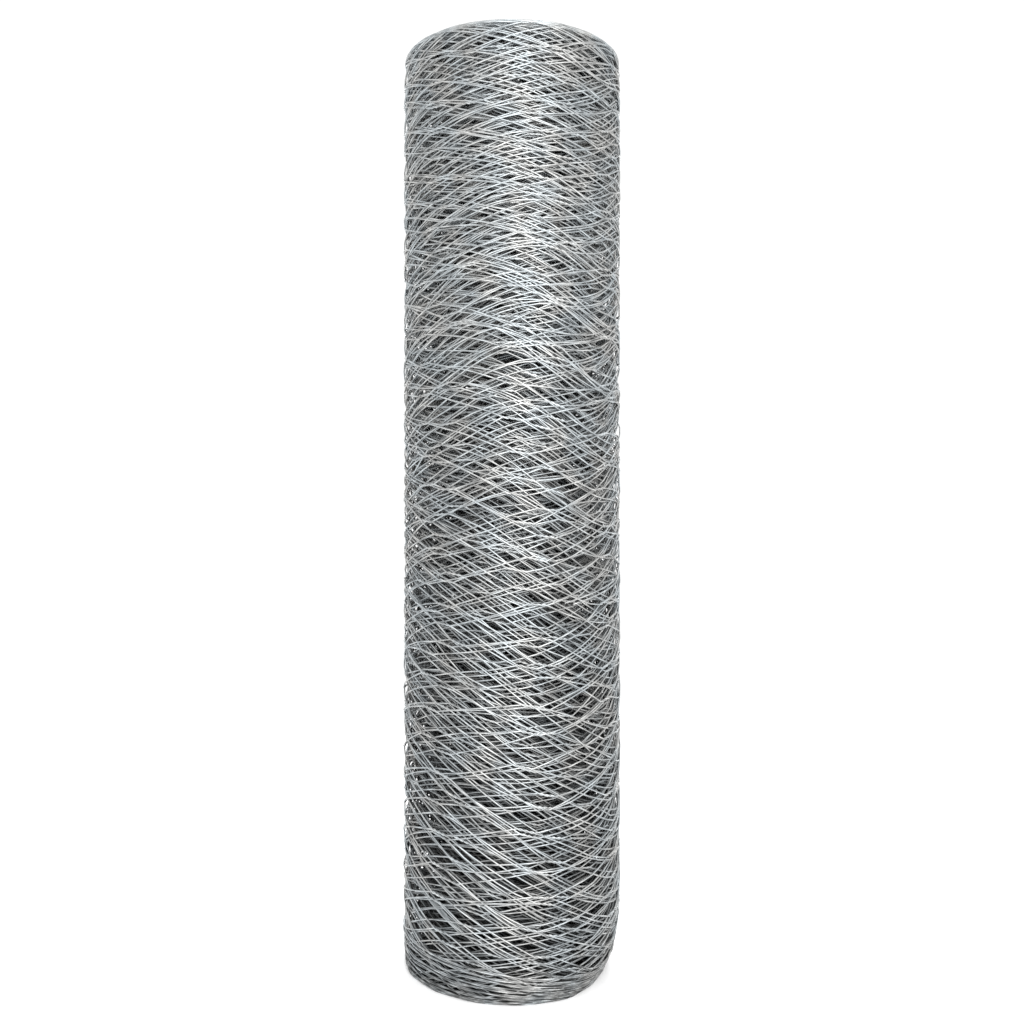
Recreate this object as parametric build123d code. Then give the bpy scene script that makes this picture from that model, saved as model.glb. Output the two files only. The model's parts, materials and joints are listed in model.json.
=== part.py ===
from build123d import *
import os

# A roll of hexagonal galvanised wire netting that stands on end, in millimetres.
# The origin is the middle of the bottom end, with +Z up the bore. The netting's loose end is at +Y.

# The roll, as high as the netting is wide
roll_height = 610.0
outer_diameter = 147.0
bore_diameter = 44.0
turn_count = 75

# The netting's wire, which is two wires thick where the wires are twisted together
wire_diameter = 0.9

# The gap between turns, which shows as a spiral on both ends: one gap to every few turns, as they lie so close
turns_per_gap = 5
gap_width = 1.0
gap_depth = 2.4

# The step at the netting's loose end, which slopes back to the turn below it
seam_slope_length = 16.0

# The lower rim on the +X side, pressed inwards: the pressed outline is a larger circle set off-centre
crush_depth = 10.0
crush_height = 40.0
crush_offset = 24.0
crush_hollow = 1.2
crush_run_out = 1.0

# How far a cut runs past the surface that it opens
overrun = 2.0

outer_radius = outer_diameter / 2
bore_radius = bore_diameter / 2
netting_thickness = 2 * wire_diameter
gap_turn_count = round(turn_count / turns_per_gap)
gap_pitch = (outer_radius - bore_radius) / gap_turn_count
spiral_start_radius = bore_radius + gap_pitch
spiral_end_radius = outer_radius - netting_thickness
half_turn_count = 2 * (gap_turn_count - 2)
half_turn_growth = (spiral_end_radius - spiral_start_radius) / half_turn_count
spiral_centre_offset = half_turn_growth / 2
seam_depth = netting_thickness + gap_width
seam_lap = gap_width


def turned_roll():
    """The plain turned solid with its bore."""
    section = Polyline(
        (bore_radius, 0),
        (outer_radius, 0),
        (outer_radius, roll_height),
        (bore_radius, roll_height),
        close=True,
    )
    return revolve(Plane.XZ * make_face(section), Axis.Z)


def gap_cutter(index, end_z, outward):
    """Half a turn of the gap on one end: a V, revolved about one of the spiral's two centres."""
    centre_side = -1 if index % 2 == 0 else 1
    arc_radius = spiral_start_radius + index * half_turn_growth + spiral_centre_offset
    mouth_half_width = gap_width / 2 * (gap_depth + overrun) / gap_depth
    mouth_z = end_z + outward * overrun
    section = Polyline(
        (arc_radius, end_z - outward * gap_depth),
        (arc_radius + mouth_half_width, mouth_z),
        (arc_radius - mouth_half_width, mouth_z),
        close=True,
    )
    half_turn = revolve(Plane.XZ * make_face(section), Axis.Z, revolution_arc=180)
    if index % 2:
        half_turn = half_turn.rotate(Axis.Z, 180)
    half_turn = Pos(centre_side * spiral_centre_offset, 0) * half_turn
    return half_turn.rotate(Axis.Z, 90)


def gap_cutters():
    """The spiral gap on both ends, from just outside the bore to the netting's loose end."""
    ends = ((0, -1), (roll_height, 1))
    return [gap_cutter(index, z, way) for z, way in ends for index in range(half_turn_count)]


def seam_cutter():
    """The step down the outside, where the netting's loose end lies on the turn below."""
    section = Polyline(
        (seam_lap, outer_radius - seam_depth),
        (seam_lap, outer_radius + overrun),
        (seam_lap - seam_slope_length, outer_radius + overrun),
        (seam_lap - seam_slope_length, outer_radius),
        close=True,
    )
    height = roll_height + 2 * overrun
    return extrude(Pos(0, 0, -overrun) * make_face(section), height, dir=(0, 0, 1))


def crushed_outline():
    """A turned solid, set off-centre, that holds all of the roll but the pressed rim."""
    rim_radius = outer_radius + crush_offset - crush_depth
    full_radius = outer_radius + crush_offset + crush_run_out
    side = ThreePointArc(
        (rim_radius, 0),
        ((rim_radius + full_radius) / 2 + crush_hollow, crush_height / 2),
        (full_radius, crush_height),
    )
    rest = Polyline(
        (full_radius, crush_height),
        (full_radius, roll_height + overrun),
        (0, roll_height + overrun),
        (0, -overrun),
        (rim_radius, -overrun),
        (rim_radius, 0),
    )
    return Pos(-crush_offset, 0) * revolve(Plane.XZ * make_face([side, rest]), Axis.Z)


netting_roll = turned_roll() & crushed_outline()
netting_roll -= [seam_cutter(), *gap_cutters()]

os.makedirs("parts", exist_ok=True)
export_step(netting_roll, "parts/netting_roll.step")
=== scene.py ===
import json
import math

import bpy
import numpy as np
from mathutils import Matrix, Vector


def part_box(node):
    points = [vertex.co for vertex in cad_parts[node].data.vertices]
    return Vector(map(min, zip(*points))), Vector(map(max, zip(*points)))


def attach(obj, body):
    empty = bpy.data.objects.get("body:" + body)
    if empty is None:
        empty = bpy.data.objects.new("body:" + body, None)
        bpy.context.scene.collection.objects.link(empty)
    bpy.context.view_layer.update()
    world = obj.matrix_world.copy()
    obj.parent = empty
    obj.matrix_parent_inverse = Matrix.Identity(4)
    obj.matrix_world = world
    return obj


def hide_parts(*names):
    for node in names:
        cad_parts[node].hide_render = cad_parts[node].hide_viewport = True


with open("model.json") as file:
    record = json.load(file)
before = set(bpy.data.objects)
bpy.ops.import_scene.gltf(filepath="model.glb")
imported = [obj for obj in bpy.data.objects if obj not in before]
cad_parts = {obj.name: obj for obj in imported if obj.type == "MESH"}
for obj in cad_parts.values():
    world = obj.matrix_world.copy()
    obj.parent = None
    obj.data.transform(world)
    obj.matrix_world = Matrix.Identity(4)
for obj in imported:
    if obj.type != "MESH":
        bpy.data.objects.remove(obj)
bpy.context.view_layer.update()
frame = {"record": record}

# Metres, in the part's own frame: the roll stands on the floor with its bore along +Z.
MM = 0.001
TURN = 2 * math.pi

# The roll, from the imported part
node_low, node_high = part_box("netting_roll")
roll_height = node_high.z - node_low.z
outer_radius = (node_high.x - node_low.x) / 2
bore_mount = next(mount for mount in frame["record"]["mounts"] if mount["name"] == "bore")
bore_radius = bore_mount["dims"]["r_mm"] * MM

# The netting: wires that run along it in zigzags, each twisted with its two neighbours in turn
wire_radius = 0.45 * MM
wire_count = 32
turn_count = 75
tightening_share = 0.8
step_length = 64 * MM
twist_length = 14 * MM
outer_turns = 14
outer_turn_steps = 7
outer_turn_shift = 5.5 * MM
twist_turns = 2
selvedge_lay = 60 * MM
selvedge_spacing = 6 * MM
loose_end_angle = math.pi / 2
loose_end_margin = 30 * MM
stub_length = 5 * MM
stub_splay = 2 * MM
stub_tuck = 0.8 * MM

# How uneven the netting is, and how much taller its meshes are at the bottom than halfway up
mesh_growth_share = 0.15
node_drift_along = 2 * MM
node_drift_across = 1.1 * MM
stretch_drift = 5 * MM
stretch_length = 420 * MM
sag_drift = 8 * MM
sag_length = 600 * MM
bow_across = 1.0 * MM
bow_outward = 0.12 * MM
bulge = 0.1 * MM
bulge_length = 70 * MM

# Where the turns have slid up or down on the roll: the angle of the middle of each place and how far round
# it spreads, in degrees, and the shares of the netting's width at which it starts, is full and ends
slides = (
    dict(angle=-90, spread=40, up=14 * MM, width_shares=(0.35, 0.55, 0.62, 0.9)),
    dict(angle=-61, spread=60, up=-27 * MM, width_shares=(-0.1, 0.0, 0.31, 0.73)),
    dict(angle=-11, spread=23, up=10 * MM, width_shares=(0.4, 0.52, 0.93, 1.0)),
    dict(angle=-19, spread=37, up=-15 * MM, width_shares=(-0.1, 0.0, 0.16, 0.46)),
)
slide_ease = 44 * MM

# The netting's two edges: the outer turns stop short of the floor, and the edges wander,
# the upper one more inside the roll
outer_rise = 28 * MM
outer_rise_turns = 8
lower_edge_wander = 0.8 * MM
upper_edge_wander = 0.3 * MM
inner_edge_wander = 1.8 * MM
inner_edge_depth_share = 0.1
edge_wander_length = 130 * MM

# How far the upper rim is drawn in, and over what height
rim_draw = 1.4 * MM
rim_draw_height = 9 * MM

# The pressed lower rim on the +X side, as in the solid
crush_depth = 10 * MM
crush_height = 40 * MM
crush_offset = 24 * MM
crush_hollow = 1.2 * MM
crush_run_out = 1 * MM
crush_softness = 1 * MM

# The turns in groups, from the outside in: the turns in each, and how finely their wires are drawn
turn_groups = (
    dict(name="netting_outer_turns", turns=2, sides=6, twist_parts=14, slant_parts=6),
    dict(name="netting_second_turns", turns=4, sides=6, twist_parts=8, slant_parts=5),
    dict(name="netting_third_turns", turns=8, sides=5, twist_parts=5, slant_parts=4),
    dict(name="netting_fourth_turns", turns=12, sides=4, twist_parts=4, slant_parts=3),
    dict(name="netting_fifth_turns", turns=18, sides=4, twist_parts=2, slant_parts=3),
    dict(name="netting_inner_turns", turns=31, sides=3, twist_parts=2, slant_parts=3),
)

# Wires that have come loose from the outermost turn: the angle and height where each one starts and ends
loose_wires = (
    dict(start_angle=-84, start_height=189 * MM, end_angle=-47, end_height=153 * MM),
    dict(start_angle=-63, start_height=248 * MM, end_angle=-8, end_height=266 * MM),
    dict(start_angle=-58, start_height=247 * MM, end_angle=-10, end_height=263 * MM),
)
loose_wire_lift = 1.8 * MM
loose_wire_parts = 16

# The zinc: its mottle along each wire, between dull and bright places, and its cool and warm tints.
# Where the mottle is worked out, the wires lie this far apart, so that each has its own.
zinc_metallic = 0.9
zinc_roughness = (0.4, 0.62)
mottle_scale = 80
mottle_detail = 4
mottle_shares = (0.35, 0.62)
zinc_dull = (0.27, 0.276, 0.281, 1)
zinc_bright = (0.64, 0.652, 0.661, 1)
strand_spacing = 1.0
tint_scale = 45
tint_detail = 2
tint_shares = (0.38, 0.62)
cool_tint = (0.94, 0.985, 1.0, 1)
warm_tint = (1.0, 0.985, 0.955, 1)
# Painted shade: the wires' colour is darkened towards the bore, down to this share at the innermost turn
inner_painted_shade_share = 0.6

# Painted shade on the zinc: how dark it is at shares of a height, how deep in the roll the shade is full
# and how much of it is on the outermost wires, and how much lies on the dull and the bright places next to
# the floor
# Painted shade: the wires are darker towards the bottom, deeper in the roll and in patches next to the
# floor
painted_shade_height = 450 * MM
painted_shade_shares = ((0.0, 0.1), (0.12, 0.2), (1.0, 1.0))
painted_shade_full_depth_share = 0.12
painted_shade_outer_share = 0.03
floor_painted_shade_height = 45 * MM
floor_painted_shade_shares = (1.0, 0.35)

# The flat map that a piece's finish is kept on: a wire takes a few rows, with gaps between the rows
# and room at both sides for the wires' ends
map_rows_per_wire = 4
map_gap_share = 0.15
map_cap_share = 0.01
map_cap_radius_share = 1 / 3

# The floor, the light and the camera
floor_size = 12.0
floor_colour = (0.95, 0.95, 0.95, 1)
floor_roughness = 0.9
light_spread = math.radians(90)
front_light_size = 0.7
front_light_power = 3.8
front_light_place = (0.2, -0.95, 0.53)
front_light_aim = (0, 0, 0.31)
back_light_size = 0.8
back_light_power = 4
back_light_place = (0, 1.0, 0.75)
back_light_aim = (0, 0, 0.35)
ambient_colour = (1, 1, 1, 1)
ambient_strength = 1.1
camera_distance = 9.95 * outer_radius
camera_lens = 37.5
camera_sensor_width = 36

rng = np.random.default_rng(29)

# The spiral that the netting is wound in, as a table: its turns lie closer together towards the outside
table_points_per_turn = 90
first_radius = bore_radius + 2 * wire_radius
last_radius = outer_radius
spiral_share = np.linspace(0, 1, turn_count * table_points_per_turn)
spiral_angle = loose_end_angle - turn_count * TURN * (1 - spiral_share)
spiral_growth_share = spiral_share * (1 + tightening_share * (1 - spiral_share))
spiral_radius = first_radius + (last_radius - first_radius) * spiral_growth_share
spiral_middles = (spiral_radius[1:] + spiral_radius[:-1]) / 2
spiral_along = np.concatenate([[0], np.cumsum(spiral_middles * np.diff(spiral_angle))])
netting_length = spiral_along[-1]


def smooth_field(along_length, across_length, wave_count=14):
    """A smooth random field over the netting, with a spread of 1: a sum of waves in random directions."""
    along_waves = rng.normal(0, TURN / along_length, wave_count)
    across_waves = rng.normal(0, TURN / across_length, wave_count)
    phases = rng.uniform(0, TURN, wave_count)

    def field(along, across):
        waves = (np.sin(a * along + b * across + c) for a, b, c in zip(along_waves, across_waves, phases))
        return sum(waves) / math.sqrt(wave_count / 2)

    return field


stretch_field = smooth_field(stretch_length, stretch_length)
sag_field = smooth_field(sag_length, sag_length)
bulge_field = smooth_field(bulge_length, bulge_length)
lower_edge_field = smooth_field(edge_wander_length, edge_wander_length)
upper_edge_field = smooth_field(edge_wander_length, edge_wander_length)


def angle_at(along):
    """The angle about the bore at which this part of the netting lies, counting every turn."""
    return np.interp(along, spiral_along, spiral_angle)


def radius_at(along):
    """The radius at which that part of the netting lies."""
    return np.interp(along, spiral_along, spiral_radius)


def depth_at(along):
    """How deep in the roll that part of the netting lies, from 0 at its outside to 1 at its bore."""
    return (last_radius - radius_at(along)) / (last_radius - bore_radius)


def along_at(turns_from_outside):
    """How far along the netting a turn begins, counted in turns from its loose end."""
    return np.interp(loose_end_angle - turns_from_outside * TURN, spiral_angle, spiral_along)


def slide_at(angle, across):
    """How far up or down the turns have slid at an angle and a share of the netting's width."""
    slid = 0.0
    for slide in slides:
        off_middle = (angle - math.radians(slide["angle"]) + math.pi) % TURN - math.pi
        reach = np.exp(-((off_middle / math.radians(slide["spread"])) ** 2))
        slid = slid + slide["up"] * reach * np.interp(across, slide["width_shares"], (0, 1, 1, 0))
    return slid


def height_at(along, across):
    """The height of a point of the netting, with across from 0 at its lower edge to 1 at its upper edge."""
    angle = angle_at(along)
    turns_in = (loose_end_angle - angle) / TURN
    rise = outer_rise * np.clip(1 - turns_in / outer_rise_turns, 0, 1)
    low = wire_radius * 2 + rise + lower_edge_wander * np.abs(lower_edge_field(along, 0))
    inside = np.clip(depth_at(along) / inner_edge_depth_share, 0, 1)
    wander = upper_edge_wander + (inner_edge_wander - upper_edge_wander) * inside
    high = roll_height - wire_radius * 2 - wander * np.abs(upper_edge_field(along, 0))
    sag = sag_drift * sag_field(along, across * roll_height) * np.sin(math.pi * across)
    height = low + (high - low) * (across + mesh_growth_share * across * (1 - across)) + sag
    above_floor = 1 - np.exp(-height / slide_ease)
    return np.maximum(height + slide_at(angle, across) * above_floor, wire_radius * 2)


def pressed_reach(angle, height):
    """How far out the roll reaches there, with its lower rim pressed in and its upper rim drawn in."""
    up = np.clip(height / crush_height, 0, 1)
    rim = outer_radius + crush_offset - crush_depth
    full = outer_radius + crush_offset + crush_run_out
    former = rim + (full - rim) * up + 4 * crush_hollow * up * (1 - up)
    sideways = crush_offset * np.sin(angle)
    reach = np.sqrt(former**2 - sideways**2) - crush_offset * np.cos(angle)
    over = (outer_radius - reach) / crush_softness
    drawn_in = rim_draw * np.exp((height - roll_height) / rim_draw_height)
    return outer_radius - drawn_in - crush_softness * np.logaddexp(0, over) * (height < crush_height)


def place(along, across, outward, upward):
    """Points of the rolled-up netting, moved outward and upward from the sheet's own surface."""
    angle = angle_at(along)
    height = height_at(along, across) + upward
    radius = radius_at(along) + outward + bulge * bulge_field(along, across * roll_height)
    return place_round(angle, height, radius)


def place_round(angle, height, radius):
    """Points at an angle, height and radius, drawn inward where the roll's rims are."""
    reach = pressed_reach(angle, height)
    radius = bore_radius + (radius - bore_radius) * (reach - bore_radius) / (outer_radius - bore_radius)
    return np.stack([radius * np.cos(angle), radius * np.sin(angle), height], axis=-1)


def twist_rows():
    """How far along the netting each row of twists is. Each outer turn lies a little on from the last."""
    rows = [netting_length - loose_end_margin]
    while rows[-1] > 2 * step_length:
        is_outer = rows[-1] > along_at(outer_turns)
        outer_step = (TURN * radius_at(rows[-1]) - outer_turn_shift) / outer_turn_steps
        rows.append(rows[-1] - (outer_step if is_outer else step_length))
    return np.array(rows[::-1])


# The twists, in rows along the netting and one more line across than there are wires
row_along = twist_rows()
step_count = len(row_along) - 1
node_across = np.arange(wire_count + 1)[None, :] / wire_count
node_stretch = stretch_drift * stretch_field(row_along[:, None], node_across * roll_height)
node_along = row_along[:, None] + node_stretch
node_along = node_along + node_drift_along * rng.normal(0, 1, node_along.shape)
drift_across = node_drift_across * rng.normal(0, 1, node_along.shape)
drift_across[:, [0, -1]] = 0
node_across = node_across + drift_across / roll_height
slant_bow_across = bow_across * rng.normal(0, 1, (step_count + 1, wire_count))
slant_bow_outward = bow_outward * rng.normal(0, 1, (step_count + 1, wire_count))


def zigzag_wires(first_step, last_step, twist_parts, slant_parts):
    """Every zigzag wire between two rows of twists, and how far along the netting its points are."""
    wires = np.arange(wire_count)[:, None]
    steps = np.arange(first_step, last_step + 1)[None, :]
    is_high = (wires + steps) % 2 == 0
    lines = wires + is_high
    along = node_along[steps, lines]
    across = node_across[steps, lines]
    side = np.where(is_high, -1.0, 1.0)

    share = np.arange(twist_parts + 1) / twist_parts
    turned = twist_turns * TURN * share
    twist = dict(
        along=along[:, :, None] + twist_length * (share - 0.5),
        across=np.repeat(across[:, :, None], twist_parts + 1, axis=2),
        outward=wire_radius * side[:, :, None] * np.sin(turned),
        upward=wire_radius * side[:, :, None] * np.cos(turned),
    )

    share = np.arange(1, slant_parts) / slant_parts
    arch = np.sin(math.pi * share)
    bow_up = slant_bow_across[first_step:last_step].T[:, :, None]
    bow_out = slant_bow_outward[first_step:last_step].T[:, :, None]

    def between(values, offset=0.0):
        start = values[:, :-1, None] + offset
        end = values[:, 1:, None] - offset
        return start + (end - start) * share

    slant = dict(
        along=between(along, twist_length / 2),
        across=between(across),
        outward=bow_out * arch,
        upward=wire_radius * between(side) + bow_up * arch,
    )

    stub = dict(
        along=along[:, -1:] + twist_length / 2 + stub_length,
        across=across[:, -1:],
        outward=np.full((wire_count, 1), -stub_tuck),
        upward=side[:, -1:] * stub_splay,
    )

    def joined(key):
        whole_steps = np.concatenate([twist[key][:, :-1], slant[key]], axis=2).reshape(wire_count, -1)
        last_twist = twist[key][:, -1]
        if last_step == step_count:
            return np.concatenate([whole_steps, last_twist, stub[key]], axis=1)
        return np.concatenate([whole_steps, last_twist[:, :1]], axis=1)

    along = joined("along")
    return place(along, joined("across"), joined("outward"), joined("upward")), along


def selvedge_wires(first_step, last_step):
    """The two straight wires along each edge of the netting, wound slowly round each other."""
    first = row_along[first_step] - twist_length / 2
    last = row_along[last_step] - twist_length / 2
    if last_step == step_count:
        last = row_along[last_step] + twist_length / 2 + stub_length
    along = np.linspace(first, last, math.ceil((last - first) / selvedge_spacing))
    paths = []
    for edge in (0.0, 1.0):
        for start in (0, math.pi):
            turned = TURN * along / selvedge_lay + start
            across = np.full(len(along), edge)
            paths.append(place(along, across, wire_radius * np.sin(turned), wire_radius * np.cos(turned)))
    return np.stack(paths), np.stack([along] * len(paths))


def loose_wire_paths():
    """The loose wires, which stand out a little from the outermost turn and end under it."""
    share = np.linspace(0, 1, loose_wire_parts + 1)
    paths = []
    alongs = []
    for wire in loose_wires:
        angle = np.radians(wire["start_angle"] + (wire["end_angle"] - wire["start_angle"]) * share)
        height = wire["start_height"] + (wire["end_height"] - wire["start_height"]) * share
        radius = last_radius - 2 * wire_radius + loose_wire_lift * np.sin(math.pi * share)
        paths.append(place_round(angle, height, radius))
        alongs.append(netting_length + last_radius * (angle - angle[0]))
    return np.stack(paths), np.stack(alongs)


def unit(vectors):
    """Vectors of length 1 in the same directions."""
    return vectors / np.linalg.norm(vectors, axis=-1, keepdims=True)


def tube_mesh(paths, sides):
    """Round wires along paths, as points, quads and end caps."""
    wires, points, _ = paths.shape
    tangent = unit(np.gradient(paths, axis=1))
    outward = paths * (1, 1, 0)
    outward = unit(outward - tangent * np.sum(outward * tangent, axis=-1, keepdims=True))
    sideways = np.cross(tangent, outward)
    around = TURN * np.arange(sides) / sides
    fill = math.sqrt(TURN / (sides * math.sin(TURN / sides)))
    ring = wire_radius * fill * np.stack([np.cos(around), np.sin(around)])
    verts = (
        paths[:, :, None]
        + outward[:, :, None] * ring[0][:, None]
        + sideways[:, :, None] * ring[1][:, None]
    )
    index = np.arange(wires * points * sides).reshape(wires, points, sides)
    beside = np.roll(index, -1, axis=2)
    quads = np.stack([index[:, :-1], beside[:, :-1], beside[:, 1:], index[:, 1:]], axis=-1)
    caps = np.concatenate([index[:, 0, ::-1], index[:, -1]])
    return verts.reshape(-1, 3), quads.reshape(-1, 4), caps


def map_places(wires, points, sides):
    """Where the quads and the end caps of wires lie on a flat map of rows."""
    per_row = math.ceil((points - 1) / map_rows_per_wire)
    part = np.arange(points - 1)
    row = np.arange(wires)[:, None] * map_rows_per_wire + part // per_row
    left = (part % per_row) / per_row
    low = np.arange(sides) / sides
    corner_u = left[None, :, None, None] + np.array([0, 0, 1, 1]) / per_row
    corner_v = low[None, None, :, None] + np.array([0, 1, 1, 0]) / sides
    quad_u = map_cap_share + (1 - 2 * map_cap_share) * corner_u
    quad_v = row[:, :, None, None] + map_gap_share + (1 - 2 * map_gap_share) * corner_v
    quad_places = np.stack(np.broadcast_arrays(quad_u, quad_v), axis=-1)

    around = TURN * np.arange(sides) / sides
    first_row = np.arange(wires) * map_rows_per_wire
    cap_row = np.concatenate([first_row, first_row + map_rows_per_wire - 1])
    cap_middle_u = np.repeat([map_cap_share / 2, 1 - map_cap_share / 2], wires)
    cap_u = cap_middle_u[:, None] + map_cap_radius_share * map_cap_share * np.cos(around)
    cap_v = cap_row[:, None] + 0.5 + map_cap_share * np.sin(around)
    cap_places = np.stack([cap_u, cap_v], axis=-1)
    return quad_places.reshape(-1, 2), cap_places.reshape(-1, 2)


def filled_mesh(name, verts, loops, totals, is_side):
    """A mesh from its points, its faces' corners, how many each face has, and which faces are smooth."""
    mesh = bpy.data.meshes.new(name)
    mesh.vertices.add(len(verts))
    mesh.vertices.foreach_set("co", verts.ravel())
    mesh.loops.add(len(loops))
    mesh.loops.foreach_set("vertex_index", loops)
    mesh.polygons.add(len(totals))
    mesh.polygons.foreach_set("loop_start", np.cumsum(totals) - totals)
    mesh.polygons.foreach_set("use_smooth", is_side)
    mesh.update(calc_edges=True)
    return mesh


def make_piece(name, path_sets, sides):
    """One object from several sets of wires, with a flat map of its own."""
    verts, depth_shares, strands, loops, totals, is_side, places = [], [], [], [], [], [], []
    offset = 0
    first_wire = 0
    for paths, along in path_sets:
        points, quads, caps = tube_mesh(paths, sides)
        verts.append(points)
        loops += [quads.ravel() + offset, caps.ravel() + offset]
        totals += [np.full(len(quads), 4), np.full(len(caps), sides)]
        is_side += [np.ones(len(quads), bool), np.zeros(len(caps), bool)]
        row_shift = (0, first_wire * map_rows_per_wire)
        places += [part + row_shift for part in map_places(len(paths), paths.shape[1], sides)]
        depth_shares.append(np.repeat(depth_at(along).ravel(), sides))
        aside = strand_spacing * (first_wire + np.arange(len(paths)))[:, None]
        strand = np.stack(np.broadcast_arrays(along, aside, 0.0), axis=-1)
        strands.append(np.repeat(strand.reshape(-1, 3), sides, axis=0))
        offset += len(points)
        first_wire += len(paths)
    faces = (np.concatenate(loops), np.concatenate(totals), np.concatenate(is_side))
    mesh = filled_mesh(name, np.concatenate(verts), *faces)
    flat_map = mesh.uv_layers.new(name="OFBake")
    map_size = (1, first_wire * map_rows_per_wire)
    flat_map.data.foreach_set("uv", (np.concatenate(places) / map_size).ravel())
    depth_layer = mesh.attributes.new("depth", "FLOAT", "POINT")
    depth_layer.data.foreach_set("value", np.concatenate(depth_shares))
    strand_layer = mesh.attributes.new("strand", "FLOAT_VECTOR", "POINT")
    strand_layer.data.foreach_set("vector", np.concatenate(strands).ravel())
    mesh.validate()
    piece = bpy.data.objects.new(name, mesh)
    bpy.context.scene.collection.objects.link(piece)
    return piece


def add_attribute(tree, name):
    """A node that reads one of the mesh's own layers."""
    node = tree.nodes.new("ShaderNodeAttribute")
    node.attribute_name = name
    return node


def add_noise(tree, places, scale, detail):
    """Noise over the places that an output gives."""
    node = tree.nodes.new("ShaderNodeTexNoise")
    node.inputs["Scale"].default_value = scale
    node.inputs["Detail"].default_value = detail
    tree.links.new(places, node.inputs["Vector"])
    return node.outputs["Fac"]


def add_ramp(tree, value, stops):
    """A colour that follows a value, from stops of a position and a colour."""
    node = tree.nodes.new("ShaderNodeValToRGB")
    elements = node.color_ramp.elements
    for position, _ in stops[1:-1]:
        elements.new(position)
    for element, (position, colour) in zip(elements, stops):
        element.position = position
        element.color = colour
    tree.links.new(value, node.inputs["Fac"])
    return node.outputs["Color"]


def add_range(tree, value, given, wanted):
    """A node that moves a value from one range to another."""
    node = tree.nodes.new("ShaderNodeMapRange")
    node.inputs["From Min"].default_value = given[0]
    node.inputs["From Max"].default_value = given[1]
    node.inputs["To Min"].default_value = wanted[0]
    node.inputs["To Max"].default_value = wanted[1]
    tree.links.new(value, node.inputs["Value"])
    return node


def add_product(tree, colour, by):
    """A node that multiplies a colour by another."""
    node = tree.nodes.new("ShaderNodeMix")
    node.data_type = "RGBA"
    node.blend_type = "MULTIPLY"
    node.inputs["Factor"].default_value = 1.0
    tree.links.new(colour, node.inputs["A"])
    tree.links.new(by, node.inputs["B"])
    return node


def add_painted_shade_share(tree, height, depth, mottle):
    """How much of the painted shade lies on a wire: more inside the roll, and in patches next to the floor.
    """
    deep_shade = add_range(tree, depth, (0, painted_shade_full_depth_share), (painted_shade_outer_share, 1))
    floor_shade_patches = add_range(tree, mottle, mottle_shares, floor_painted_shade_shares)
    near_floor = add_range(tree, height, (0, floor_painted_shade_height), (1, 0))
    tree.links.new(floor_shade_patches.outputs["Result"], near_floor.inputs["To Min"])
    either = tree.nodes.new("ShaderNodeMath")
    either.operation = "MAXIMUM"
    tree.links.new(deep_shade.outputs["Result"], either.inputs[0])
    tree.links.new(near_floor.outputs["Result"], either.inputs[1])
    return either.outputs["Value"]


def galvanised_material():
    """Dull zinc: cool grey, mottled along each wire, with painted shade that darkens the inner turns, the
    lower part of the roll and patches next to the floor.
    """
    material = bpy.data.materials.new("galvanised_wire")
    material.use_nodes = True
    tree = material.node_tree
    shader = tree.nodes["Principled BSDF"]
    shader.inputs["Metallic"].default_value = zinc_metallic
    where = tree.nodes.new("ShaderNodeTexCoord").outputs["Object"]
    apart = tree.nodes.new("ShaderNodeSeparateXYZ")
    tree.links.new(where, apart.inputs["Vector"])
    height = apart.outputs["Z"]
    depth = add_attribute(tree, "depth").outputs["Fac"]
    mottle = add_noise(tree, add_attribute(tree, "strand").outputs["Vector"], mottle_scale, mottle_detail)

    zinc = add_ramp(tree, mottle, list(zip(mottle_shares, (zinc_dull, zinc_bright))))
    tint = add_noise(tree, where, tint_scale, tint_detail)
    tints = add_ramp(tree, tint, list(zip(tint_shares, (cool_tint, warm_tint))))
    tinted = add_product(tree, zinc, tints)
    # Painted shade: the inner turns are darkened towards the bore
    inner_shade = add_range(tree, depth, (0, 1), (1, inner_painted_shade_share))
    inner_shaded = add_product(tree, tinted.outputs["Result"], inner_shade.outputs["Result"])
    # Painted shade: darker towards the bottom, deeper in the roll and in patches next to the floor
    climb = add_range(tree, height, (0, painted_shade_height), (0, 1))
    greys = [(position, (share, share, share, 1)) for position, share in painted_shade_shares]
    height_shade = add_ramp(tree, climb.outputs["Result"], greys)
    shaded_zinc = add_product(tree, inner_shaded.outputs["Result"], height_shade)
    tree.links.new(add_painted_shade_share(tree, height, depth, mottle), shaded_zinc.inputs["Factor"])
    tree.links.new(shaded_zinc.outputs["Result"], shader.inputs["Base Color"])

    rough = add_range(tree, mottle, (0, 1), zinc_roughness)
    tree.links.new(rough.outputs["Result"], shader.inputs["Roughness"])
    return material


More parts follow.
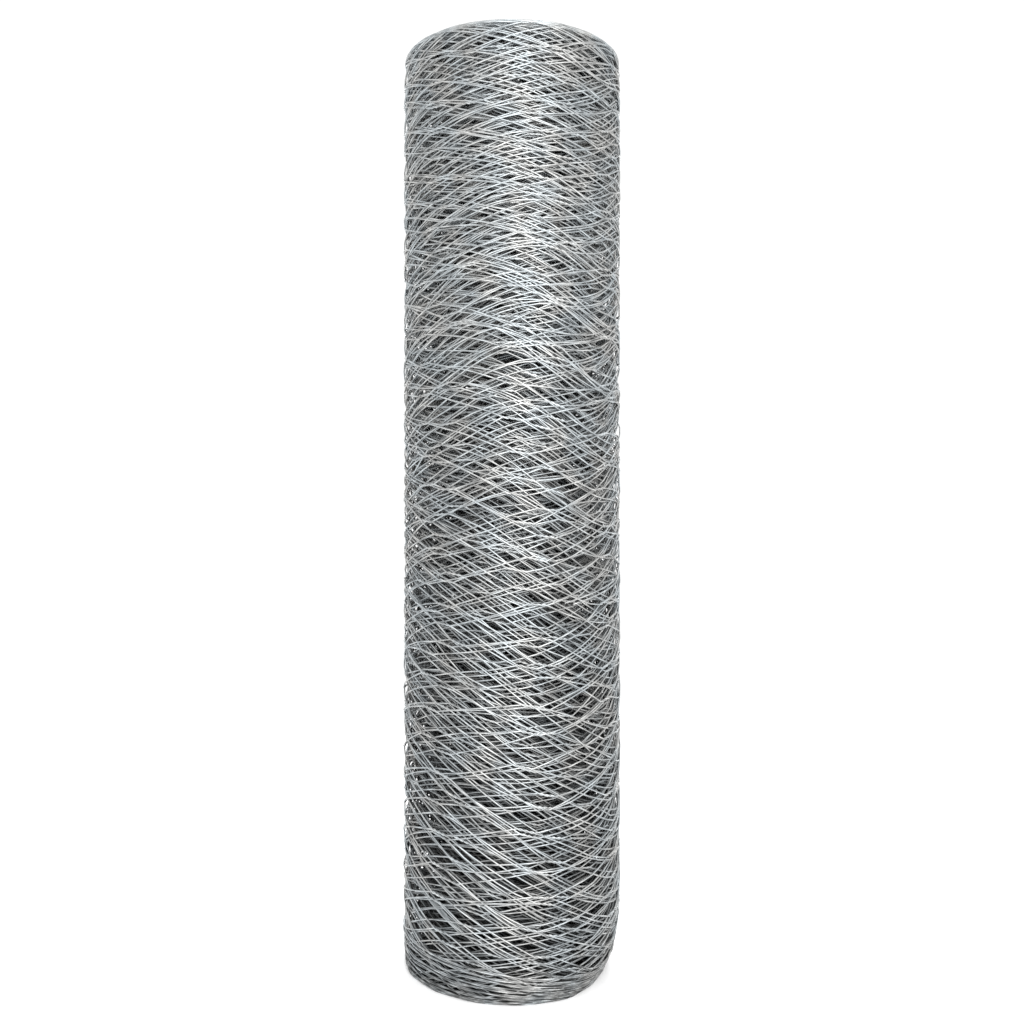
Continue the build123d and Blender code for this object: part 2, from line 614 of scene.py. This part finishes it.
def build_roll():
    """All turns of the netting, a group of turns to a piece."""
    material = galvanised_material()
    turns_from_outside = 0
    last_step = step_count
    for group in turn_groups:
        turns_from_outside += group["turns"]
        first_step = int(np.searchsorted(row_along, along_at(turns_from_outside)))
        path_sets = [
            zigzag_wires(first_step, last_step, group["twist_parts"], group["slant_parts"]),
            selvedge_wires(first_step, last_step),
        ]
        if last_step == step_count:
            path_sets.append(loose_wire_paths())
        piece = make_piece(group["name"], path_sets, group["sides"])
        piece.data.materials.append(material)
        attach(piece, "root")
        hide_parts("netting_roll")
        last_step = first_step


def make_floor():
    """A plain pale floor under the roll."""
    half = floor_size / 2
    corners = [(-half, -half, 0), (half, -half, 0), (half, half, 0), (-half, half, 0)]
    mesh = bpy.data.meshes.new("floor")
    mesh.from_pydata(corners, [], [(0, 1, 2, 3)])
    floor = bpy.data.objects.new("floor", mesh)
    bpy.context.scene.collection.objects.link(floor)
    material = bpy.data.materials.new("pale_floor")
    material.use_nodes = True
    shader = material.node_tree.nodes["Principled BSDF"]
    shader.inputs["Base Color"].default_value = floor_colour
    shader.inputs["Roughness"].default_value = floor_roughness
    mesh.materials.append(material)


def add_light(name, place_at, look_at, size, power):
    """A soft square lamp that shines from one point to another."""
    light = bpy.data.lights.new(name, "AREA")
    light.size = size
    light.energy = power
    light.spread = light_spread
    lamp = bpy.data.objects.new(name, light)
    lamp.location = place_at
    direction = Vector(look_at) - Vector(place_at)
    lamp.rotation_euler = direction.to_track_quat("-Z", "Y").to_euler()
    bpy.context.scene.collection.objects.link(lamp)


def make_studio():
    """Two soft lamps and even light from all round."""
    add_light("front_light", front_light_place, front_light_aim, front_light_size, front_light_power)
    add_light("back_light", back_light_place, back_light_aim, back_light_size, back_light_power)
    world = bpy.data.worlds.new("studio")
    world.use_nodes = True
    background = world.node_tree.nodes["Background"]
    background.inputs["Color"].default_value = ambient_colour
    background.inputs["Strength"].default_value = ambient_strength
    bpy.context.scene.world = world
    bpy.context.scene.view_settings.view_transform = "Standard"


def make_camera():
    """A level camera halfway up the roll, in front of it."""
    data = bpy.data.cameras.new("camera")
    data.lens = camera_lens
    data.sensor_width = camera_sensor_width
    camera = bpy.data.objects.new("camera", data)
    camera.location = (0, -camera_distance, roll_height / 2)
    camera.rotation_euler = (math.pi / 2, 0, 0)
    bpy.context.scene.collection.objects.link(camera)
    bpy.context.scene.camera = camera


build_roll()
make_floor()
make_studio()
make_camera()
